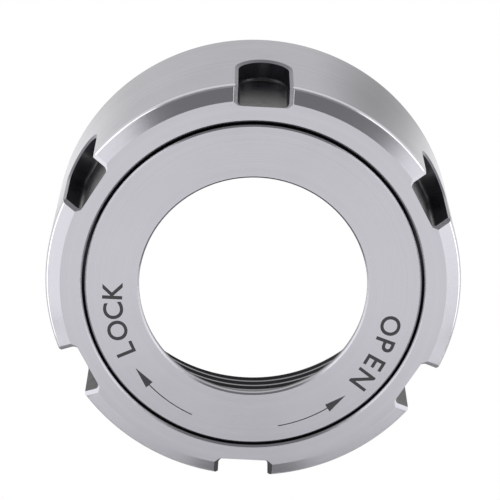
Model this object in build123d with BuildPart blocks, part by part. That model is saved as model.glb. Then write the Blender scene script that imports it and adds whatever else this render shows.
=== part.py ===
from build123d import *
from math import asin, cos, floor, hypot, pi, radians, sin, tan
import os

# Clamping nut for spring collets, with a pressure ring that turns in it on a ball race.
# The nut stands on its rear face: the origin is the centre of that face, and +Z runs
# along the axis to the front face. A depth is measured back from the front face. The
# radii build up outwards from the collet's opening, each by the wall or gap between.

# Opening and cone for the collet
opening_diameter = 27.4
land_length = 1.05
cone_rise = 3.0
cone_half_angle = 30.0

# Pull-out lip behind the cone, bored off centre
lip_groove_depth = 0.6
lip_groove_width = 1.65
lip_width = 1.4
lip_reach = 0.3
lip_offset = 0.8
lip_bevel = 0.3
lip_recess = 0.9

# Pressure ring outside the cone
hub_wall = 2.05
hub_bevel = 0.3
flange_overhang = 0.85
flange_thickness = 3.2
edge_break = 0.2

# Ball race: a full row of 3/32 inch balls, half in the ring and half in the nut body
ball_diameter = 2.381
ball_depth = 5.6
race_clearance = 0.03
race_land_gap = 0.4

# Gaps between the ring and the nut body
joint_gap = 0.35
step_gap = 0.25
rear_gap = 0.5

# Nut body
nut_length = 22.5
front_wall = 4.45
front_bevel_width = 1.8
front_bevel_depth = 1.0
front_bevel_round = 0.6
pocket_bevel = 0.25
rear_bevel = 0.6

# Thread for the spindle nose: the bore is cut at the root of the M40 x 1.5 thread
thread_wall = 5.0
relief_depth = 0.4
relief_width = 1.8
counterbore_length = 2.0
counterbore_bevel = 0.4

# Wrench slots, milled from outside with a round-ended run-out
slot_count = 6
slot_width = 6.1
slot_depth = 2.57
slot_length = 11.7
slot_corner_round = 0.2
slot_edge_bevel = 0.3

# Filler hole for the balls, closed by an M3 set screw
filler_hole_clearance = 0.12
filler_seat_depth = 3.6
filler_screw_diameter = 3.0
filler_screw_length = 3.0
filler_screw_clearance = 0.02
filler_screw_bevel = 0.3
filler_socket_width = 1.5
filler_socket_depth = 1.3

# Radii, from the opening outwards
opening_radius = opening_diameter / 2
cone_back_radius = opening_radius + cone_rise
lip_groove_radius = cone_back_radius + lip_groove_depth
lip_bore_radius = cone_back_radius - lip_reach
lip_blank_radius = lip_bore_radius - lip_offset - edge_break
recess_radius = lip_groove_radius + lip_bevel
hub_radius = lip_groove_radius + hub_wall
pitch_radius = hub_radius + race_land_gap / 2
hub_pocket_radius = hub_radius + race_land_gap
ring_face_radius = hub_radius + flange_overhang
flange_pocket_radius = ring_face_radius + joint_gap
nut_radius = flange_pocket_radius + front_wall
thread_radius = nut_radius - thread_wall
relief_radius = thread_radius + relief_depth
slot_floor_radius = nut_radius - slot_depth
filler_seat_radius = nut_radius - filler_seat_depth
ball_radius = ball_diameter / 2
groove_radius = ball_radius + race_clearance

# Heights, from the front face back
front_z = nut_length
step_z = front_z - flange_thickness - step_gap
ball_z = front_z - ball_depth
cone_rear_z = front_z - land_length - cone_rise / tan(radians(cone_half_angle))
lip_front_z = cone_rear_z - lip_groove_width
lip_rear_z = lip_front_z - lip_width
ring_rear_z = lip_rear_z - lip_recess
relief_front_z = ring_rear_z - rear_gap
thread_front_z = relief_front_z - relief_width
thread_rear_z = counterbore_length + relief_depth
slot_end_center_z = front_z - slot_length + slot_width / 2
overshoot = 2.0
tolerance = 0.001


def slot_angle(number):
    """The direction of a wrench slot, in degrees. A half is midway to the next slot."""
    return radians(90 + 360 / slot_count * number)


def slot_plane(number):
    """The plane of a wrench slot's floor, facing outwards, with its local y axis along +Z."""
    angle = slot_angle(number)
    outwards = Vector(cos(angle), sin(angle), 0)
    return Plane(
        origin=outwards * slot_floor_radius,
        x_dir=Vector(-sin(angle), cos(angle), 0),
        z_dir=outwards,
    )


filler_angle = slot_angle(3.5)
filler_direction = Vector(cos(filler_angle), sin(filler_angle), 0)


def filler_plane(radius):
    """A plane across the filler hole, that far from the nut's axis and facing outwards."""
    middle = filler_direction * radius + Vector(0, 0, ball_z)
    return Plane(origin=middle, x_dir=(0, 0, 1), z_dir=filler_direction)


slot_planes = [slot_plane(number) for number in range(slot_count)]


def is_floor(plane, edge):
    """True for an edge where a slot's floor meets its wall."""
    middle = plane.to_local_coords(edge @ 0.5)
    on_floor = abs(middle.Z) < tolerance and abs(middle.X) < slot_width / 2 + tolerance
    return on_floor and middle.Y < front_z - tolerance


def is_rim(plane, edge):
    """True for an edge where a slot's wall meets the outside of the nut."""
    middle = plane.to_local_coords(edge @ 0.5)
    past_straight = max(slot_end_center_z - middle.Y, 0)
    on_wall = abs(hypot(middle.X, past_straight) - slot_width / 2) < tolerance
    upright = abs((edge % 0.5).dot(plane.z_dir)) > 0.95
    on_front_face = middle.Y > front_z - tolerance
    above_corner = middle.Z > slot_corner_round + tolerance
    return on_wall and above_corner and not upright and not on_front_face


os.makedirs("parts", exist_ok=True)

# The nut body is turned from one bar. Its section, from the rear bore round to the front
with BuildPart() as nut_body:
    with BuildSketch(Plane.XZ) as body_section:
        with BuildLine():
            Polyline(
                (relief_radius + counterbore_bevel, 0),
                (nut_radius - rear_bevel, 0),
                (nut_radius, rear_bevel),
                (nut_radius, front_z - front_bevel_depth),
                (nut_radius - front_bevel_width, front_z),
                (flange_pocket_radius + pocket_bevel, front_z),
                (flange_pocket_radius, front_z - pocket_bevel),
                (flange_pocket_radius, step_z),
                (hub_pocket_radius, step_z),
                (hub_pocket_radius, relief_front_z),
                (relief_radius, relief_front_z),
                (relief_radius, thread_front_z),
                (thread_radius, thread_front_z),
                (thread_radius, thread_rear_z),
                (relief_radius, counterbore_length),
                (relief_radius, counterbore_bevel),
                close=True,
            )
        make_face()
        front_corner = body_section.vertices().sort_by_distance(
            (nut_radius, front_z - front_bevel_depth)
        )[0]
        fillet(front_corner, radius=front_bevel_round)
        with Locations((pitch_radius, ball_z)):
            Circle(groove_radius, mode=Mode.SUBTRACT)
    revolve(axis=Axis.Z)

    # Wrench slots, each with a rounded corner along its floor and a bevelled rim
    for floor_plane in slot_planes:
        straight = front_z + overshoot - slot_end_center_z
        with BuildSketch(floor_plane):
            with Locations((0, slot_end_center_z + straight / 2)):
                SlotCenterToCenter(straight, slot_width, rotation=90)
        extrude(amount=nut_radius - slot_floor_radius + overshoot, mode=Mode.SUBTRACT)

    # Filler hole: wide enough for a ball, then wider for the screw that closes it
    with BuildSketch(filler_plane(pitch_radius)):
        Circle(ball_radius + filler_hole_clearance / 2)
    extrude(amount=nut_radius - pitch_radius + overshoot, mode=Mode.SUBTRACT)
    with BuildSketch(filler_plane(filler_seat_radius)):
        Circle(filler_screw_diameter / 2)
    extrude(amount=nut_radius - filler_seat_radius + overshoot, mode=Mode.SUBTRACT)

    for floor_plane in slot_planes:
        floor_edges = nut_body.edges().filter_by(lambda edge: is_floor(floor_plane, edge))
        fillet(floor_edges, radius=slot_corner_round)
        rim_edges = nut_body.edges().filter_by(lambda edge: is_rim(floor_plane, edge))
        chamfer(rim_edges, length=slot_edge_bevel)

nut_body.part.label = "nut_body"
export_step(nut_body.part, "parts/nut_body.step")

# The pressure ring turns in the nut body. Its cone bears on the collet's front taper, and
# the lip behind the cone, bored off centre, hooks into the collet's groove to pull it out
with BuildPart() as pressure_ring:
    with BuildSketch(Plane.XZ):
        with BuildLine():
            Polyline(
                (opening_radius + edge_break, front_z),
                (ring_face_radius - edge_break, front_z),
                (ring_face_radius, front_z - edge_break),
                (ring_face_radius, front_z - flange_thickness),
                (hub_radius, front_z - flange_thickness),
                (hub_radius, ring_rear_z + hub_bevel),
                (hub_radius - hub_bevel, ring_rear_z),
                (recess_radius, ring_rear_z),
                (recess_radius, lip_rear_z),
                (lip_blank_radius, lip_rear_z),
                (lip_blank_radius, lip_front_z),
                (lip_groove_radius, lip_front_z),
                (lip_groove_radius, cone_rear_z),
                (cone_back_radius, cone_rear_z),
                (opening_radius, front_z - land_length),
                (opening_radius, front_z - edge_break),
                close=True,
            )
        make_face()
        with Locations((pitch_radius, ball_z)):
            Circle(groove_radius, mode=Mode.SUBTRACT)
    revolve(axis=Axis.Z)
    with BuildSketch(Plane.XY.offset(lip_front_z)):
        with Locations((0, -lip_offset)):
            Circle(lip_bore_radius)
    extrude(amount=lip_rear_z - lip_front_z, mode=Mode.SUBTRACT)
    lip_edges = pressure_ring.edges(Select.LAST).filter_by(GeomType.CIRCLE)
    chamfer(lip_edges.group_by(Axis.Z)[0], length=lip_bevel)

pressure_ring.part.label = "pressure_ring"
export_step(pressure_ring.part, "parts/pressure_ring.step")

# The balls fill the race, with less than one ball's width to spare in all
ball_count = floor(pi / asin(ball_radius / pitch_radius))
for number in range(ball_count):
    turn = 2 * pi * number / ball_count
    with BuildPart() as ball:
        with Locations((pitch_radius * cos(turn), pitch_radius * sin(turn), ball_z)):
            Sphere(ball_radius)
    ball.part.label = f"ball_{number + 1:02d}"
    export_step(ball.part, f"parts/ball_{number + 1:02d}.step")

# Set screw that closes the filler hole, seated on the step in it
with BuildPart() as filler_screw:
    with BuildSketch(filler_plane(filler_seat_radius)):
        Circle(filler_screw_diameter / 2 - filler_screw_clearance)
    extrude(amount=filler_screw_length)
    chamfer(filler_screw.edges().filter_by(GeomType.CIRCLE), length=filler_screw_bevel)
    with BuildSketch(filler_plane(filler_seat_radius + filler_screw_length)):
        RegularPolygon(filler_socket_width / 2, 6, major_radius=False)
    extrude(amount=-filler_socket_depth, mode=Mode.SUBTRACT)

filler_screw.part.label = "filler_screw"
export_step(filler_screw.part, "parts/filler_screw.step")
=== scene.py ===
import bmesh
import bpy
from math import asin, atan2, cos, degrees, hypot, pi, radians, sin, sqrt, tan
from mathutils import Matrix, Vector


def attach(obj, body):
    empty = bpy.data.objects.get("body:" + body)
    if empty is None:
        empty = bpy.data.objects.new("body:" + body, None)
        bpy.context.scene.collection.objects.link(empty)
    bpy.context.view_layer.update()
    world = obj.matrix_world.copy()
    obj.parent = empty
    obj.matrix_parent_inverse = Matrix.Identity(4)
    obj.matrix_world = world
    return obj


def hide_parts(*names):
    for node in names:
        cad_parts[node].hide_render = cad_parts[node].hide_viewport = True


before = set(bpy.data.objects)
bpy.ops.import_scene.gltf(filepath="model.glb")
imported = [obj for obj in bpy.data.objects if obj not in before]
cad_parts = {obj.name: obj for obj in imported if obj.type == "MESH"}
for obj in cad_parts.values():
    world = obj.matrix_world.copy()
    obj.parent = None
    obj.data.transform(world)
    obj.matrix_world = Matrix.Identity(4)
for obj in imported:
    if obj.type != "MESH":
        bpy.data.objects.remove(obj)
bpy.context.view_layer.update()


# --- Nut body ---------------------------------------------------------------------------
# One piece of case-hardened steel, turned from bar, with wrench slots milled from outside
# that end in a half round. It is blackened all over, then its outer faces are ground
# bright, so that the black stays in the slots, the joint and the bore.
mm = 0.001
hair = 0.01 * mm
merge_distance = 0.001 * mm
turned_steps = 360
race_steps = 12
nut_radius = 25.0 * mm
front_z = 22.5 * mm
front_bevel_width = 1.8 * mm
front_bevel_depth = 1.0 * mm
front_bevel_round = 0.6 * mm
rear_bevel = 0.6 * mm
rear_edge_round = 0.1 * mm
pocket_bevel = 0.25 * mm
pocket_radius = 20.55 * mm
pocket_floor_z = 19.05 * mm
hub_pocket_radius = 19.75 * mm
ball_pitch_radius = 19.55 * mm
ball_z = 16.9 * mm
race_groove_radius = 1.2205 * mm
relief_radius = 20.4 * mm
relief_front_z = 11.8 * mm
thread_root_radius = 20.0 * mm
thread_front_z = 10.0 * mm
counterbore_z = 2.0 * mm
counterbore_bevel = 0.4 * mm


def arc_points(centre, radius, start, end, steps):
    """Points of an arc in a section, from one angle to the other, both in degrees."""
    angles = [radians(start + (end - start) * step / steps) for step in range(steps + 1)]
    return [(centre[0] + radius * cos(a), centre[1] + radius * sin(a)) for a in angles]


def draw_section(name, corners):
    """Starts a turned piece by drawing its section, radius and height, edge by edge."""
    bpy.ops.object.select_all(action="DESELECT")
    bpy.ops.mesh.primitive_plane_add(size=mm, location=(0, 0, 0))
    piece = bpy.context.object
    piece.name = piece.data.name = name
    bpy.ops.object.mode_set(mode="EDIT")
    bpy.ops.mesh.select_mode(type="VERT")
    bpy.ops.mesh.merge(type="CENTER")
    bpy.ops.transform.translate(value=(corners[0][0], 0, corners[0][1]))
    for start, end in zip(corners, corners[1:] + corners[:1]):
        step = (end[0] - start[0], 0, end[1] - start[1])
        bpy.ops.mesh.extrude_vertices_move(TRANSFORM_OT_translate={"value": step})
    bpy.ops.mesh.select_all(action="SELECT")
    bpy.ops.mesh.remove_doubles(threshold=merge_distance)
    return piece


def spin_section():
    """Spins the section that is drawn into a closed solid round the Z axis."""
    bpy.ops.mesh.select_all(action="SELECT")
    bpy.ops.mesh.spin(steps=turned_steps, angle=2 * pi, center=(0, 0, 0), axis=(0, 0, 1))
    bpy.ops.mesh.select_all(action="SELECT")
    bpy.ops.mesh.remove_doubles(threshold=merge_distance)
    bpy.ops.mesh.normals_make_consistent(inside=False)


def pick(kind, test):
    """Selects just the verts, edges or faces of the edited mesh whose middle passes the test."""
    modes = {"verts": "VERT", "edges": "EDGE", "faces": "FACE"}
    bpy.ops.mesh.select_mode(type=modes[kind])
    bpy.ops.mesh.select_all(action="DESELECT")
    mesh = bpy.context.object.data
    shape = bmesh.from_edit_mesh(mesh)
    for item in getattr(shape, kind):
        corners = [item] if kind == "verts" else item.verts
        middle = sum((corner.co for corner in corners), Vector()) / len(corners)
        if test(middle):
            item.select_set(True)
    bmesh.update_edit_mesh(mesh)


def near(value, target, within=0.004 * mm):
    """True for a value that lies closer to its target than that."""
    return abs(value - target) < within


def bevel_ring(radius, height, width, segments):
    """Rounds the turned edge that runs round the axis at that radius and height."""
    pick("edges", lambda at: near(hypot(at.x, at.y), radius) and near(at.z, height))
    bpy.ops.mesh.bevel(offset=width, segments=segments, affect="EDGES", clamp_overlap=False)


def at_ring(at, radius, height, width):
    """True for a point no further than the width from a turned edge."""
    return near(hypot(at.x, at.y), radius, width) and near(at.z, height, width)


def coat(piece, slot, test):
    """Gives the faces whose middle passes the test another of the piece's materials."""
    for face in piece.data.polygons:
        if test(face.center):
            face.material_index = slot


def cut_away(piece, cutter):
    """Cuts one mesh with another for good, and deletes the cutter."""
    bpy.ops.object.select_all(action="DESELECT")
    bpy.context.view_layer.objects.active = piece
    piece.select_set(True)
    tool = piece.modifiers.new("cut", "BOOLEAN")
    tool.operation = "DIFFERENCE"
    tool.solver = "EXACT"
    tool.object = cutter
    bpy.ops.object.modifier_apply(modifier=tool.name)
    bpy.data.objects.remove(cutter)


def finish_shading(piece, angle=30):
    """Smooth faces with crisp edges, where large faces keep their own normals."""
    bpy.ops.object.select_all(action="DESELECT")
    bpy.context.view_layer.objects.active = piece
    piece.select_set(True)
    bpy.ops.object.shade_smooth_by_angle(angle=radians(angle))
    weighted = piece.modifiers.new("weighted", "WEIGHTED_NORMAL")
    weighted.keep_sharp = True
    bpy.ops.object.modifier_apply(modifier=weighted.name)


corner_z = front_z - front_bevel_depth
groove_reach = sqrt(race_groove_radius**2 - (hub_pocket_radius - ball_pitch_radius) ** 2)
groove_angle = degrees(asin(groove_reach / race_groove_radius))
nut_body = draw_section(
    "nut_body_turned",
    [
        (relief_radius + counterbore_bevel, 0),
        (nut_radius - rear_bevel, 0),
        (nut_radius, rear_bevel),
        (nut_radius, corner_z),
        (nut_radius - front_bevel_width, front_z),
        (pocket_radius, front_z),
        (pocket_radius, pocket_floor_z),
        (hub_pocket_radius, pocket_floor_z),
    ]
    + arc_points(
        (ball_pitch_radius, ball_z), race_groove_radius, groove_angle, -groove_angle, race_steps
    )
    + [
        (hub_pocket_radius, relief_front_z),
        (relief_radius, relief_front_z),
        (relief_radius, thread_front_z),
        (thread_root_radius, thread_front_z),
        (thread_root_radius, counterbore_z + relief_radius - thread_root_radius),
        (relief_radius, counterbore_z),
        (relief_radius, counterbore_bevel),
    ],
)
spin_section()
# Its turned edges: radius, height, width of the rounding and steps in it
corner_turn = atan2(front_bevel_width, front_bevel_depth)
outer_round = front_bevel_round * tan(corner_turn / 2)
for edge in (
    (nut_radius, corner_z, outer_round, 6),
    (pocket_radius, front_z, pocket_bevel, 1),
    (nut_radius, rear_bevel, rear_edge_round, 2),
    (nut_radius - rear_bevel, 0, rear_edge_round, 2),
):
    bevel_ring(*edge)
bpy.ops.object.mode_set(mode="OBJECT")

slot_half_width = 3.05 * mm
slot_end_z = 13.85 * mm
slot_floor = 22.43 * mm
slot_corner_round = 0.5 * mm
slot_rim_width = 0.42 * mm
slot_rim_depth = 0.26 * mm
slot_rim_reach = 0.3 * mm
slot_overshoot = 2 * mm
slot_top_z = front_z + 1.5 * mm
slot_round_steps = 72
slot_count = 6

# The cutter for the slot at +Y: a half round with straight sides up past the front face
cutter_margin = slot_rim_width * (slot_rim_depth + slot_rim_reach) / slot_rim_depth
bpy.ops.object.select_all(action="DESELECT")
bpy.ops.mesh.primitive_circle_add(
    vertices=slot_round_steps,
    radius=slot_half_width + cutter_margin,
    location=(0, nut_radius + slot_overshoot, slot_end_z),
    rotation=(pi / 2, 0, 0),
)
slot_cutter = bpy.context.object
bpy.ops.object.transform_apply(location=True, rotation=True)
bpy.ops.object.mode_set(mode="EDIT")
pick("verts", lambda at: at.z > slot_end_z + hair)
bpy.ops.mesh.delete(type="VERT")
pick("verts", lambda at: at.z > slot_end_z - hair)
rise = (0, 0, slot_top_z - slot_end_z)
bpy.ops.mesh.extrude_vertices_move(TRANSFORM_OT_translate={"value": rise})
bpy.ops.mesh.edge_face_add()
bpy.ops.mesh.select_all(action="SELECT")
bpy.ops.mesh.edge_face_add()
# Down to the rim, in by the rim's bevel, then down the walls to the floor
into = (0, slot_rim_reach - slot_overshoot, 0)
bpy.ops.mesh.extrude_region_move(TRANSFORM_OT_translate={"value": into})
bpy.ops.mesh.inset(thickness=cutter_margin, depth=0)
bpy.ops.transform.translate(value=(0, -slot_rim_depth - slot_rim_reach, 0))
down = (0, slot_floor - nut_radius + slot_rim_depth, 0)
bpy.ops.mesh.extrude_region_move(TRANSFORM_OT_translate={"value": down})
bpy.ops.mesh.select_all(action="SELECT")
bpy.ops.mesh.normals_make_consistent(inside=False)
pick("edges", lambda at: near(at.y, slot_floor))
bpy.ops.mesh.bevel(offset=slot_corner_round, segments=8, affect="EDGES")
for loop_y in (nut_radius + slot_rim_reach, nut_radius - slot_rim_depth):
    pick("verts", lambda at: near(at.y, loop_y))
    bpy.ops.object.vertex_group_assign_new()
bpy.ops.object.mode_set(mode="OBJECT")

# The rim's two loops are laid on the nut's round outside, above it and below it. Applying
# a modifier makes the groups anew, so only their names are kept
rim_loops = [group.name for group in slot_cutter.vertex_groups]
for rim_loop, lift in zip(rim_loops, (slot_rim_reach, -slot_rim_depth)):
    bpy.ops.object.select_all(action="DESELECT")
    bpy.ops.mesh.primitive_cylinder_add(
        vertices=2 * turned_steps,
        radius=nut_radius,
        depth=60 * mm,
        location=(0, lift, front_z / 2),
    )
    outside = bpy.context.object
    bpy.context.view_layer.objects.active = slot_cutter
    lay = slot_cutter.modifiers.new("lay", "SHRINKWRAP")
    lay.wrap_method = "PROJECT"
    lay.use_project_y = True
    lay.use_positive_direction = True
    lay.use_negative_direction = True
    lay.target = outside
    lay.vertex_group = rim_loop
    bpy.ops.object.modifier_apply(modifier=lay.name)
    bpy.data.objects.remove(outside)
slot_cutter.vertex_groups.clear()

# Beside a slot the front bevel has a bevel of its own. Beside the top slot its outer edge is
# deburred too, with a file. Both are cut by flat wedges that reach over the slot's rounded
# corner, but no deeper than its floor
cone_bevel_width = 0.6 * mm
cone_bevel_depth = 0.24 * mm
facet_width = 0.66 * mm
facet_depth = 0.184 * mm
wedge_reach = 1.2 * mm
wedge_length = 5 * mm
wedge_height = 1 * mm
floor_gap = 0.002 * mm
cone_middle_y = sqrt((nut_radius - front_bevel_width / 2) ** 2 - slot_half_width**2)
cone_middle_z = front_z - front_bevel_depth / 2
slope = Vector((0, front_bevel_depth, front_bevel_width)).normalized()


def flat_wedge(side, width, depth):
    """A block over the slot's edge on the front bevel, on one side of it, to cut a bevel."""
    outwards = (Vector((-side / width, 0, 0)) + slope / depth).normalized()
    on_plane = Vector((side * slot_half_width, cone_middle_y, cone_middle_z)) - slope * depth
    bpy.ops.object.select_all(action="DESELECT")
    bpy.ops.mesh.primitive_cube_add(size=1)
    wedge = bpy.context.object
    along = Vector((0, -front_bevel_width, front_bevel_depth)).normalized()
    sideways = along.cross(outwards)
    turn_matrix = Matrix((sideways, along, outwards)).transposed().to_4x4()
    wedge_width = wedge_reach + slot_corner_round
    shift = side * (wedge_width / 2 - slot_corner_round)
    middle = on_plane + Vector((shift, 0, 0)) + outwards * (wedge_height / 2 - outwards.x * shift)
    size = Matrix.Diagonal((wedge_width, wedge_length, wedge_height, 1))
    wedge.matrix_world = Matrix.Translation(middle) @ turn_matrix @ size
    bpy.ops.object.transform_apply(location=True, rotation=True, scale=True)
    bpy.ops.object.mode_set(mode="EDIT")
    bpy.ops.mesh.select_all(action="SELECT")
    bpy.ops.mesh.bisect(
        plane_co=(0, slot_floor + floor_gap, 0),
        plane_no=(0, 1, 0),
        clear_inner=True,
        use_fill=True,
    )
    bpy.ops.object.mode_set(mode="OBJECT")
    return wedge


facets = [flat_wedge(side, facet_width, facet_depth) for side in (-1, 1)]
wedges = [flat_wedge(side, cone_bevel_width, cone_bevel_depth) for side in (-1, 1)]


def srgb(code):
    """An sRGB hex colour as linear red, green, blue and alpha."""
    parts = [int(code[i : i + 2], 16) / 255 for i in (1, 3, 5)]
    linear = [p / 12.92 if p <= 0.04045 else ((p + 0.055) / 1.055) ** 2.4 for p in parts]
    return (*linear, 1.0)


def new_material(name):
    """An empty node material, and the tree that its nodes go in."""
    material = bpy.data.materials.new(name)
    material.use_nodes = True
    material.node_tree.nodes.clear()
    return material, material.node_tree


def add_node(tree, kind, inputs=None, **settings):
    """Adds a node. Each of its inputs is given a value, or the output that feeds it."""
    node = tree.nodes.new(kind)
    for name, value in settings.items():
        setattr(node, name, value)
    for name, value in (inputs or {}).items():
        if isinstance(value, bpy.types.NodeSocket):
            tree.links.new(value, node.inputs[name])
        else:
            node.inputs[name].default_value = value
    return node


def add_ramp(tree, factor, stops):
    """Adds a colour ramp that takes the factor through grey stops."""
    node = add_node(tree, "ShaderNodeValToRGB", {"Fac": factor})
    ramp = node.color_ramp
    while len(ramp.elements) < len(stops):
        ramp.elements.new(0.5)
    for element, (place, grey) in zip(ramp.elements, stops):
        element.position = place
        element.color = (grey, grey, grey, 1)
    return node.outputs["Color"]


def turned_steel(name, colour, roughness, line_spacing, line_depth):
    """Bright steel whose fine tool lines run round the Z axis, as a lathe leaves them."""
    material, tree = new_material(name)
    place = add_node(tree, "ShaderNodeTexCoord").outputs["Object"]
    split = add_node(tree, "ShaderNodeSeparateXYZ", {"Vector": place})
    flat = add_node(
        tree, "ShaderNodeCombineXYZ", {"X": split.outputs["X"], "Y": split.outputs["Y"]}
    )
    radius = add_node(
        tree, "ShaderNodeVectorMath", {0: flat.outputs["Vector"]}, operation="LENGTH"
    ).outputs["Value"]
    path = add_node(
        tree, "ShaderNodeMath", {0: radius, 1: split.outputs["Z"]}, operation="SUBTRACT"
    ).outputs["Value"]
    # Tool lines: a random height for each line, and a slower swell over some of them
    lines = add_node(
        tree,
        "ShaderNodeTexNoise",
        {"W": path, "Scale": 1 / line_spacing, "Detail": 2.0, "Roughness": 0.6},
        noise_dimensions="1D",
    ).outputs["Fac"]
    swell = add_node(
        tree,
        "ShaderNodeTexNoise",
        {"W": path, "Scale": 0.12 / line_spacing, "Detail": 1.0},
        noise_dimensions="1D",
    ).outputs["Fac"]
    # Handling marks: faint uneven patches a few millimetres across
    patches = add_node(
        tree,
        "ShaderNodeTexNoise",
        {"Vector": place, "Scale": 1 / (7 * mm), "Detail": 3.0, "Roughness": 0.55},
    ).outputs["Fac"]
    dull = add_ramp(tree, patches, [(0.3, roughness * 0.93), (0.7, roughness * 1.07)])
    streak = add_ramp(tree, swell, [(0.3, 0.94), (0.7, 1.06)])
    rough = add_node(
        tree, "ShaderNodeMath", {0: dull, 1: streak}, operation="MULTIPLY"
    ).outputs["Value"]
    tint = add_ramp(tree, lines, [(0.25, 0.93), (0.75, 1.0)])
    shade = add_node(
        tree,
        "ShaderNodeMix",
        {"Factor": 1.0, 6: srgb(colour), 7: tint},
        data_type="RGBA",
        blend_type="MULTIPLY",
    ).outputs[2]
    bump = add_node(
        tree,
        "ShaderNodeBump",
        {"Height": lines, "Distance": line_depth, "Strength": 1.0},
    ).outputs["Normal"]
    # The lines are finer than the picture's pixels, so they stretch reflections across them
    around = add_node(tree, "ShaderNodeTangent", direction_type="RADIAL", axis="Z").outputs[0]
    shader = add_node(
        tree,
        "ShaderNodeBsdfPrincipled",
        {
            "Base Color": shade,
            "Metallic": 1.0,
            "Roughness": rough,
            "Normal": bump,
            "Anisotropic": 0.5,
            "Anisotropic Rotation": 0.25,
            "Tangent": around,
        },
    )
    add_node(tree, "ShaderNodeOutputMaterial", {"Surface": shader.outputs["BSDF"]})
    return material


# Ground hardened steel: faintly cool grey, soft reflections, fine round lines
bright_steel = turned_steel("ground_hardened_steel", "#A6A5AB", 0.24, 0.11 * mm, 0.0012 * mm)

# The outer edge is burnished by handling: smoother, and lighter in colour, which partly paints the
# white highlight on the front bevel's round
burnished_highlight_steel = turned_steel("burnished_steel_edge_painted_highlight", "#CFCFD4", 0.18, 0.11 * mm, 0.0006 * mm)

# A filed edge: bare metal, with file scratches that scatter the light, in a colour lighter than
# steel that partly paints the thin bright lines beside the top slot
filed_highlight_steel = turned_steel("filed_edge_painted_highlight", "#E4E4E8", 0.5, 0.2 * mm, 0.002 * mm)

# A thin worn film of black oxide on the slots' rims: steel that shines through it, darker
worn_oxide = turned_steel("worn_oxide_on_steel", "#7A797F", 0.3, 0.11 * mm, 0.0012 * mm)


def mottled_film(name, dark, light, patch_size, detail, roughness, metallic=0.0):
    """A dark film on steel, uneven in patches. Its roughness is one value, or a low and a high."""
    material, tree = new_material(name)
    place = add_node(tree, "ShaderNodeTexCoord").outputs["Object"]
    patches = add_node(
        tree, "ShaderNodeTexNoise", {"Vector": place, "Scale": 1 / patch_size, "Detail": detail}
    ).outputs["Fac"]
    shade = add_node(
        tree,
        "ShaderNodeMix",
        {"Factor": patches, 6: srgb(dark), 7: srgb(light)},
        data_type="RGBA",
    ).outputs[2]
    if isinstance(roughness, tuple):
        roughness = add_ramp(tree, patches, [(0.3, roughness[0]), (0.7, roughness[1])])
    shader = add_node(
        tree,
        "ShaderNodeBsdfPrincipled",
        {"Base Color": shade, "Metallic": metallic, "Roughness": roughness},
    )
    add_node(tree, "ShaderNodeOutputMaterial", {"Surface": shader.outputs["BSDF"]})
    return material


# Black oxide left in the milled slots: near black, with the half gloss of its oil
oxide_patch = 1.2 * mm
oxide_roughness = (0.26, 0.36)
black_oxide = mottled_film(
    "black_oxide_oiled", "#17161B", "#252329", oxide_patch, 4.0, oxide_roughness
)

# Inside the joint and the bore the black stays, and the outer edge is burnished, its lighter
# colour partly a painted highlight. The first material slot is the bright steel, which all other
# faces keep
black_slot, burnished_highlight_slot, filed_highlight_slot, worn_slot = range(1, 5)
for piece in [nut_body, slot_cutter] + facets + wedges:
    piece.data.materials.clear()
    for material in (bright_steel, black_oxide, burnished_highlight_steel, filed_highlight_steel, worn_oxide):
        piece.data.materials.append(material)
pocket_edge_z = front_z - pocket_bevel - hair
coat(
    nut_body,
    black_slot,
    lambda at: hypot(at.x, at.y) < pocket_radius + hair and 0 < at.z < pocket_edge_z,
)
# The front bevel's round takes the lighter burnished steel: wear, and partly a painted highlight
coat(nut_body, burnished_highlight_slot, lambda at: at_ring(at, nut_radius, corner_z, outer_round))
# The filed facets beside the top slot: a filed finish, and partly a painted highlight
for facet in facets:
    coat(facet, filed_highlight_slot, lambda at: True)

# Walls and floor of a slot are black too, and its bevelled rim keeps a thin film of it
rim_zone = nut_radius - 1 * mm, nut_radius + 0.1 * mm
for face in slot_cutter.data.polygons:
    slopes = 0.3 < abs(face.normal.y) < 0.95
    is_rim = slopes and rim_zone[0] < face.center.y < rim_zone[1]
    face.material_index = worn_slot if is_rim else black_slot


def copies_round_nut(cutters, name):
    """One object of all the cutters, repeated at every slot."""
    copies = []
    for number in range(slot_count):
        for cutter in cutters:
            copy = cutter.copy()
            copy.data = cutter.data.copy()
            copy.data.transform(Matrix.Rotation(2 * pi * number / slot_count, 4, "Z"))
            bpy.context.scene.collection.objects.link(copy)
            copies.append(copy)
    for cutter in cutters:
        bpy.data.objects.remove(cutter)
    bpy.ops.object.select_all(action="DESELECT")
    for copy in copies:
        copy.select_set(True)
    bpy.context.view_layer.objects.active = copies[0]
    bpy.ops.object.join()
    joined = bpy.context.object
    joined.name = name
    return joined


cut_away(nut_body, copies_round_nut([slot_cutter], "slot_cutters"))
cut_away(nut_body, copies_round_nut(wedges, "wedge_cutters"))
for facet in facets:
    cut_away(nut_body, facet)

# Beside the lowest slot only, the two bevels are given the black too, as painted shade where that
# side of the nut is seen dark. The middle of each lies within these of the slot's edge and of the
# front bevel's middle
painted_shade_strip_side = 0.1 * mm
painted_shade_strip_rise = 0.3 * mm
coat(
    nut_body,
    black_slot,
    lambda at: at.y < 0
    and near(abs(at.x), slot_half_width, painted_shade_strip_side)
    and near(at.z, cone_middle_z, painted_shade_strip_rise),
)

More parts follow.
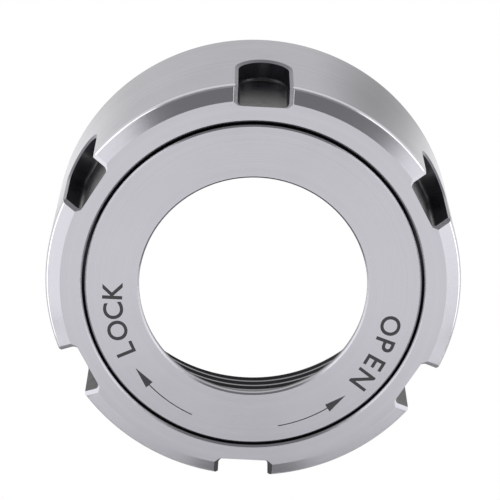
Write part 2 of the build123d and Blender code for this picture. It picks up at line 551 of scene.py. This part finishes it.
# The hole that the balls are fed in through, wider outside for the screw that closes it
filler_angle = radians(300)
filler_hole_radius = 1.25 * mm
filler_hole_start = 19.6 * mm
filler_seat_radius = 1.5 * mm
filler_seat_start = 21.4 * mm
hole_end = 26 * mm
hole_steps = 64
for radius, start in (
    (filler_hole_radius, filler_hole_start),
    (filler_seat_radius, filler_seat_start),
):
    middle = (start + hole_end) / 2
    bpy.ops.object.select_all(action="DESELECT")
    bpy.ops.mesh.primitive_cylinder_add(
        vertices=hole_steps,
        radius=radius,
        depth=hole_end - start,
        location=(middle * cos(filler_angle), middle * sin(filler_angle), ball_z),
        rotation=(0, pi / 2, filler_angle),
    )
    drill = bpy.context.object
    bpy.ops.object.transform_apply(location=True, rotation=True)
    drill.data.materials.append(bright_steel)
    cut_away(nut_body, drill)
# The front bevel slopes only 29 degrees, so edges are kept crisp from a smaller angle up
finish_shading(nut_body, angle=14)
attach(nut_body, "nut")
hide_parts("nut_body")


# --- Spindle thread ---------------------------------------------------------------------
# The M40 x 1.5 thread, cut on the lathe in the nut's rear bore. It is a ridge that climbs
# to the right, with flat crests; its end at the counterbore is turned off at 45 degrees, the other
# is cut square.
pitch = 1.5 * mm
crest_radius = 19.19 * mm
crest_width = 0.375 * mm
root_width = 1.3125 * mm
sunk_radius = 20.2 * mm
start_z = 1.2 * mm
end_height = 0.7 * mm
thread_turns = 7
thread_steps = 240
thread_start_angle = radians(185)
spindle_thread = draw_section(
    "spindle_thread",
    [
        (sunk_radius, start_z - root_width / 2),
        (thread_root_radius, start_z - root_width / 2),
        (crest_radius, start_z - crest_width / 2),
        (crest_radius, start_z + crest_width / 2),
        (thread_root_radius, start_z + root_width / 2),
        (sunk_radius, start_z + root_width / 2),
    ],
)
bpy.ops.object.mode_set(mode="OBJECT")
climb = spindle_thread.modifiers.new("climb", "SCREW")
climb.axis = "Z"
climb.angle = 2 * pi
climb.screw_offset = pitch
climb.iterations = thread_turns
climb.steps = climb.render_steps = thread_steps
climb.use_merge_vertices = False
bpy.ops.object.modifier_apply(modifier=climb.name)
bpy.ops.object.mode_set(mode="EDIT")
for end_z in (start_z, start_z + thread_turns * pitch):
    pick("verts", lambda at: at.x > 0 and near(at.y, 0) and near(at.z, end_z, end_height))
    bpy.ops.mesh.edge_face_add()
bpy.ops.mesh.select_all(action="SELECT")
bpy.ops.mesh.normals_make_consistent(inside=False)
bpy.ops.object.mode_set(mode="OBJECT")
spindle_thread.data.transform(Matrix.Rotation(thread_start_angle, 4, "Z"))
# Its ends: square at the relief, and a 45 degree cone at the counterbore
cone_height = 6 * mm
cone_foot = relief_radius + counterbore_z
bpy.ops.object.select_all(action="DESELECT")
bpy.ops.mesh.primitive_cone_add(
    vertices=turned_steps,
    radius1=cone_foot,
    radius2=cone_foot - cone_height,
    depth=cone_height,
    location=(0, 0, cone_height / 2),
)
lead_in = bpy.context.object
bpy.ops.object.transform_apply(location=True)
cut_away(spindle_thread, lead_in)
bpy.ops.object.select_all(action="DESELECT")
bpy.ops.mesh.primitive_cylinder_add(
    vertices=turned_steps,
    radius=cone_foot,
    depth=cone_height,
    location=(0, 0, thread_front_z + cone_height / 2),
)
run_out = bpy.context.object
bpy.ops.object.transform_apply(location=True)
cut_away(spindle_thread, run_out)
# Cutting the fine ends leaves a few split corners, which are closed again
bpy.ops.object.mode_set(mode="EDIT")
bpy.ops.mesh.select_all(action="SELECT")
bpy.ops.mesh.remove_doubles(threshold=2 * merge_distance)
bpy.ops.mesh.delete_loose()
bpy.ops.mesh.normals_make_consistent(inside=False)
bpy.ops.object.mode_set(mode="OBJECT")
# Its flanks keep some of the black, and the crests are bright where the spindle nose rubs them
thin_oxide = mottled_film(
    "black_oxide_thin", "#333338", "#47474D", oxide_patch, 4.0, oxide_roughness
)
for material in (bright_steel, thin_oxide):
    spindle_thread.data.materials.append(material)
coat(spindle_thread, black_slot, lambda at: hypot(at.x, at.y) > crest_radius + 2 * hair)
finish_shading(spindle_thread, angle=25)
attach(spindle_thread, "nut")


# --- Balls ------------------------------------------------------------------------------
# The full row of 3/32 inch balls in the race: hardened chrome steel, ground and lapped.
# The CAD solids have their true shape, and get the polish.
polish, polish_tree = new_material("lapped_chrome_steel")
place = add_node(polish_tree, "ShaderNodeTexCoord").outputs["Object"]
film = add_node(
    polish_tree, "ShaderNodeTexNoise", {"Vector": place, "Scale": 1 / (1.5 * mm), "Detail": 2.0}
).outputs["Fac"]
film_rough = add_ramp(polish_tree, film, [(0.35, 0.05), (0.7, 0.12)])
shader = add_node(
    polish_tree,
    "ShaderNodeBsdfPrincipled",
    {"Base Color": srgb("#D4D4D8"), "Metallic": 1.0, "Roughness": film_rough},
)
add_node(polish_tree, "ShaderNodeOutputMaterial", {"Surface": shader.outputs["BSDF"]})
for name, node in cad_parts.items():
    if name.startswith("ball_"):
        node.data.materials.clear()
        node.data.materials.append(polish)


# --- Filler screw -----------------------------------------------------------------------
# The M3 set screw that closes the hole the balls are fed in through. It is an ordinary
# blackened screw with a hexagon socket, on the side away from the photograph.
screw_black = mottled_film(
    "black_oxide_screw", "#19191B", "#2E2E31", 0.5 * mm, 3.0, (0.32, 0.45), metallic=0.6
)
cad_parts["filler_screw"].data.materials.clear()
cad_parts["filler_screw"].data.materials.append(screw_black)


# --- Pressure ring ----------------------------------------------------------------------
# The ring that bears on the collet: hardened steel, turned, with a ground cone and face.
# It goes in from the front and is held by the balls. The lip behind its cone is bored off
# centre and pulls the collet out.
ring_face_radius = 20.2 * mm
flange_rear_z = 19.3 * mm
hub_radius = 19.35 * mm
hub_bevel = 0.3 * mm
ring_rear_z = 12.304 * mm
lip_rear_z = 13.204 * mm
lip_front_z = 14.604 * mm
cone_rear_z = 16.254 * mm
land_rear_z = 21.45 * mm
land_shade_band_length = 0.35 * mm
opening_radius = 13.7 * mm
cone_back_radius = 16.7 * mm
lip_groove_radius = 17.3 * mm
lip_recess_radius = 17.6 * mm
lip_blank_radius = 15.4 * mm
lip_bore_radius = 16.4 * mm
lip_offset = 0.8 * mm
lip_overshoot = 0.6 * mm
edge_break = 0.2 * mm
land_edge_round = 0.05 * mm
groove_reach = sqrt(race_groove_radius**2 - (ball_pitch_radius - hub_radius) ** 2)
groove_angle = degrees(asin(groove_reach / race_groove_radius))
pressure_ring = draw_section(
    "pressure_ring_turned",
    [
        (opening_radius, front_z),
        (ring_face_radius, front_z),
        (ring_face_radius, flange_rear_z),
        (hub_radius, flange_rear_z),
    ]
    + arc_points(
        (ball_pitch_radius, ball_z),
        race_groove_radius,
        180 - groove_angle,
        180 + groove_angle,
        race_steps,
    )
    + [
        (hub_radius, ring_rear_z + hub_bevel),
        (hub_radius - hub_bevel, ring_rear_z),
        (lip_recess_radius, ring_rear_z),
        (lip_recess_radius, lip_rear_z),
        (lip_blank_radius, lip_rear_z),
        (lip_blank_radius, lip_front_z),
        (lip_groove_radius, lip_front_z),
        (lip_groove_radius, cone_rear_z),
        (cone_back_radius, cone_rear_z),
        (opening_radius, land_rear_z),
        (opening_radius, land_rear_z + land_shade_band_length),
    ],
)
spin_section()
for edge in (
    (opening_radius, front_z, edge_break, 1),
    (ring_face_radius, front_z, edge_break, 1),
    (opening_radius, land_rear_z, land_edge_round, 2),
):
    bevel_ring(*edge)
bpy.ops.object.mode_set(mode="OBJECT")
bpy.ops.object.select_all(action="DESELECT")
bpy.ops.mesh.primitive_cylinder_add(
    vertices=turned_steps,
    radius=lip_bore_radius,
    depth=lip_front_z - lip_rear_z + lip_overshoot,
    location=(0, -lip_offset, (lip_front_z + lip_rear_z) / 2),
)
lip_cutter = bpy.context.object
bpy.ops.object.transform_apply(location=True)
# Ground a little finer than the body, with the same cool grey
ring_steel = turned_steel("ground_ring_steel", "#A5A4AA", 0.25, 0.1 * mm, 0.001 * mm)
for piece in (pressure_ring, lip_cutter):
    for material in (ring_steel, black_oxide):
        piece.data.materials.append(material)
flange_edge_z = front_z - edge_break - hair
coat(
    pressure_ring,
    black_slot,
    lambda at: hypot(at.x, at.y) > hub_radius - hair and at.z < flange_edge_z,
)
# A thin band at the rear corner of the opening's land is painted black, as painted shadow in the
# gap before the thread behind it
land_shade_band_z = land_rear_z + land_shade_band_length / 2
coat(
    pressure_ring,
    black_slot,
    lambda at: at_ring(at, opening_radius, land_shade_band_z, land_shade_band_length / 2),
)
cut_away(pressure_ring, lip_cutter)
finish_shading(pressure_ring)
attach(pressure_ring, "ring")
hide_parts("pressure_ring")


# --- Marks on the ring's face -----------------------------------------------------------
# Two curved arrows and the words for the two ways to turn the nut, marked by laser: the
# steel is burnt dark grey, with no depth to speak of. They are drawn 5 microns proud.
mark_height = 0.005 * mm
mark_grey = mottled_film("laser_marking", "#1B1B1F", "#27272C", 0.3 * mm, 3.0, 0.6)

# All marks lie on one circle, whose centre is a little below the ring's own
mark_circle = 16.92 * mm
mark_middle = (0.09 * mm, -1.28 * mm)

# Each arrow by the angle of its tail and the way it points, 1 for counterclockwise
arrows = ((-113.2, -1), (-76.8, 1))
arrow_line = 0.13 * mm
arrow_sweep = 22.0
arrow_head_sweep = 9.4
arrow_head_half_width = 0.53 * mm
arrow_steps = 24

# Each word by the angle of its first letter. The words read clockwise
words = (("LOCK", -153.8), ("OPEN", -9.5))
letter_step = 8.7
letter_height = 2.42 * mm
letter_boldness = 0.014


def lay_mark(mark, reach, angle, turned):
    """Lays a flat mark on the ring's face, at an angle on the marks' circle."""
    mark.location = (
        mark_middle[0] + reach * cos(angle),
        mark_middle[1] + reach * sin(angle),
        front_z,
    )
    mark.rotation_euler = (0, 0, turned)
    bpy.ops.object.transform_apply(location=True, rotation=True, scale=True)
    mark.data.materials.clear()
    mark.data.materials.append(mark_grey)


marks = []
for tail, way in arrows:
    shaft_end = way * arrow_sweep
    shoulder = radians(shaft_end)
    tip = radians(way * (arrow_sweep + arrow_head_sweep))
    head = [
        (mark_circle + arrow_head_half_width, shoulder),
        (mark_circle, tip),
        (mark_circle - arrow_head_half_width, shoulder),
    ]
    arrow = draw_section(
        "arrow",
        arc_points((0, 0), mark_circle + arrow_line / 2, 0, shaft_end, arrow_steps)
        + [(reach * cos(angle), reach * sin(angle)) for reach, angle in head]
        + arc_points((0, 0), mark_circle - arrow_line / 2, shaft_end, 0, arrow_steps),
    )
    bpy.ops.mesh.select_all(action="SELECT")
    bpy.ops.mesh.edge_face_add()
    bpy.ops.mesh.extrude_region_move(TRANSFORM_OT_translate={"value": (0, -mark_height, 0)})
    bpy.ops.mesh.select_all(action="SELECT")
    bpy.ops.mesh.normals_make_consistent(inside=False)
    bpy.ops.object.mode_set(mode="OBJECT")
    # The outline was drawn upright, so it is laid down first
    arrow.rotation_euler = (-pi / 2, 0, 0)
    bpy.ops.object.transform_apply(rotation=True)
    lay_mark(arrow, 0, 0, radians(tail))
    marks.append(arrow)

for word, first in words:
    for number, letter in enumerate(word):
        bpy.ops.object.select_all(action="DESELECT")
        bpy.ops.object.text_add(location=(0, 0, 0))
        text = bpy.context.object
        text.data.body = letter
        text.data.size = letter_height
        text.data.offset = letter_boldness * letter_height
        text.data.extrude = mark_height
        bpy.ops.object.convert(target="MESH")
        text = bpy.context.object
        bpy.ops.object.mode_set(mode="EDIT")
        bpy.ops.mesh.select_all(action="SELECT")
        bpy.ops.mesh.remove_doubles(threshold=merge_distance)
        bpy.ops.mesh.normals_make_consistent(inside=False)
        bpy.ops.object.mode_set(mode="OBJECT")
        corners = [Vector(corner) for corner in text.bound_box]
        middle = (corners[0] + corners[6]) / 2
        fit = letter_height / (corners[6].y - corners[0].y)
        text.data.transform(Matrix.Translation((-middle.x, -middle.y, 0)))
        text.scale = (fit, fit, 1)
        angle = radians(first - letter_step * number)
        lay_mark(text, mark_circle, angle, angle - pi / 2)
        marks.append(text)
bpy.ops.object.select_all(action="DESELECT")
for mark in marks:
    mark.select_set(True)
bpy.context.view_layer.objects.active = marks[0]
bpy.ops.object.join()
ring_marks = bpy.context.object
ring_marks.name = ring_marks.data.name = "ring_marks"
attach(ring_marks, "ring")


# --- Stage ------------------------------------------------------------------------------
# A pale table just under the nut, seen pure white as in a product photograph, softboxes
# at its sides, in front and above, and the camera where the photograph was taken from.
table_size = 6.0
table_gap = 0.02 * mm
bpy.ops.object.select_all(action="DESELECT")
bpy.ops.mesh.primitive_plane_add(size=table_size, location=(0, 0, -table_gap))
table = bpy.context.object
bpy.ops.object.transform_apply(location=True)
table.name = "table"
white, white_tree = new_material("white_table")
rays = add_node(white_tree, "ShaderNodeLightPath").outputs
looked_at = add_node(
    white_tree,
    "ShaderNodeMath",
    {0: rays["Is Camera Ray"], 1: rays["Is Transmission Ray"]},
    operation="MAXIMUM",
).outputs["Value"]
seen = add_node(
    white_tree, "ShaderNodeMath", {0: looked_at, 1: rays["Is Glossy Ray"]}, operation="MAXIMUM"
).outputs["Value"]
painted = add_node(white_tree, "ShaderNodeBsdfDiffuse", {"Color": srgb("#E6E6E6")})
# Reflections see painted pools of light and shade on it round the nut, lighter at its sides and
# under it, a painted shadow at its right rear and darker in front: place, reach and how much
# lighter or darker
place = add_node(white_tree, "ShaderNodeTexCoord").outputs["Object"]
reflected = 0.98
for pool_place, reach, change in (
    ((-27 * mm, 8 * mm, 0), 16 * mm, 0.4),
    ((26 * mm, 8 * mm, 0), 12 * mm, 0.4),
    ((18 * mm, 22.5 * mm, 0), 13 * mm, -0.42),
    ((0, -40 * mm, 0), 45 * mm, -0.55),
    ((0, -260 * mm, 0), 320 * mm, -0.8),
    ((0, 2 * mm, 0), 18 * mm, 0.25),
):
    away = add_node(
        white_tree, "ShaderNodeVectorMath", {0: place, 1: pool_place}, operation="DISTANCE"
    ).outputs["Value"]
    painted_pool = add_node(
        white_tree,
        "ShaderNodeMapRange",
        {"Value": away, "From Min": 0.0, "From Max": reach, "To Min": change, "To Max": 0.0},
        interpolation_type="SMOOTHSTEP",
    ).outputs["Result"]
    reflected = add_node(
        white_tree, "ShaderNodeMath", {0: reflected, 1: painted_pool}, operation="ADD"
    ).outputs["Value"]
strength = add_node(
    white_tree, "ShaderNodeMix", {"Factor": looked_at, 2: reflected, 3: 1.0}, data_type="FLOAT"
).outputs[0]
glow = add_node(
    white_tree, "ShaderNodeEmission", {"Color": (1, 1, 1, 1), "Strength": strength}
)
mix = add_node(
    white_tree,
    "ShaderNodeMixShader",
    {0: seen, 1: painted.outputs["BSDF"], 2: glow.outputs["Emission"]},
)
add_node(white_tree, "ShaderNodeOutputMaterial", {"Surface": mix.outputs["Shader"]})
table.data.materials.append(white)

# The room is white behind the nut, and dimmer as the light that falls on it
room_brightness = 0.38
world = bpy.data.worlds.new("studio")
bpy.context.scene.world = world
world.use_nodes = True
sky_tree = world.node_tree
sky_tree.nodes.clear()
rays = add_node(sky_tree, "ShaderNodeLightPath").outputs
seen = add_node(
    sky_tree,
    "ShaderNodeMath",
    {0: rays["Is Camera Ray"], 1: rays["Is Transmission Ray"]},
    operation="MAXIMUM",
).outputs["Value"]
level = add_node(
    sky_tree, "ShaderNodeMix", {"Factor": seen, 2: room_brightness, 3: 1.0}, data_type="FLOAT"
).outputs[0]
sky = add_node(sky_tree, "ShaderNodeBackground", {"Color": (1, 1, 1, 1), "Strength": level})
add_node(sky_tree, "ShaderNodeOutputWorld", {"Surface": sky.outputs["Background"]})


def softbox(name, place, size, brightness):
    """A flat lamp that faces the nut, as bright to look at as it says: 1 is white."""
    lamp = bpy.data.lights.new(name, "AREA")
    lamp.shape = "RECTANGLE"
    lamp.size, lamp.size_y = size
    lamp.energy = brightness * pi * size[0] * size[1]
    holder = bpy.data.objects.new(name, lamp)
    bpy.context.scene.collection.objects.link(holder)
    holder.location = place
    aim = Vector((0, 0, front_z)) - Vector(place)
    holder.rotation_euler = aim.to_track_quat("-Z", "Y").to_euler()
    return holder


# Each by its place and size in metres, and its brightness
softbox("softbox_left_low", (-0.488, 0.06, 0.109), (0.95, 0.213), 1.95)
softbox("softbox_left_high", (-0.4, 0.004, 0.323), (0.6, 0.268), 1.56)
softbox("softbox_right_low", (0.481, 0.105, 0.109), (0.84, 0.213), 1.9)
softbox("softbox_right_high", (0.4, -0.03, 0.323), (0.54, 0.268), 1.58)
softbox("softbox_front_left", (-0.283, -0.47, 0.31), (0.5, 0.4), 1.38)
softbox("softbox_front_right", (0.31, -0.453, 0.31), (0.48, 0.4), 1.38)
softbox("softbox_above", (0.0, -0.1, 0.5), (0.7, 0.29), 1.18)

# The camera looks down the nut's axis from the front, a little from above. Lens, distance
# and tilt come from fitting six circles of the nut to the photograph.
lens = 189.954
sensor = 36.0
distance = 316.19 * mm
tilt = radians(18.763)
shift_right = 0.375 * mm
shift_up = -4.474 * mm
roll = radians(3.0)
right = Vector((cos(roll), sin(roll), 0))
image_up = Vector((-sin(roll), cos(roll), 0))
axis = Vector((0, 0, 1))
back = axis * cos(tilt) + image_up * sin(tilt)
up = image_up * cos(tilt) - axis * sin(tilt)
eye = Vector((0, 0, front_z)) + back * distance - right * shift_right - up * shift_up
camera_data = bpy.data.cameras.new("camera")
camera_data.lens = lens
camera_data.sensor_width = sensor
camera_data.clip_start = 0.01
camera = bpy.data.objects.new("camera", camera_data)
bpy.context.scene.collection.objects.link(camera)
camera.matrix_world = Matrix.Translation(eye) @ Matrix((right, up, back)).transposed().to_4x4()
bpy.context.scene.camera = camera
bpy.context.scene.view_settings.view_transform = "Standard"
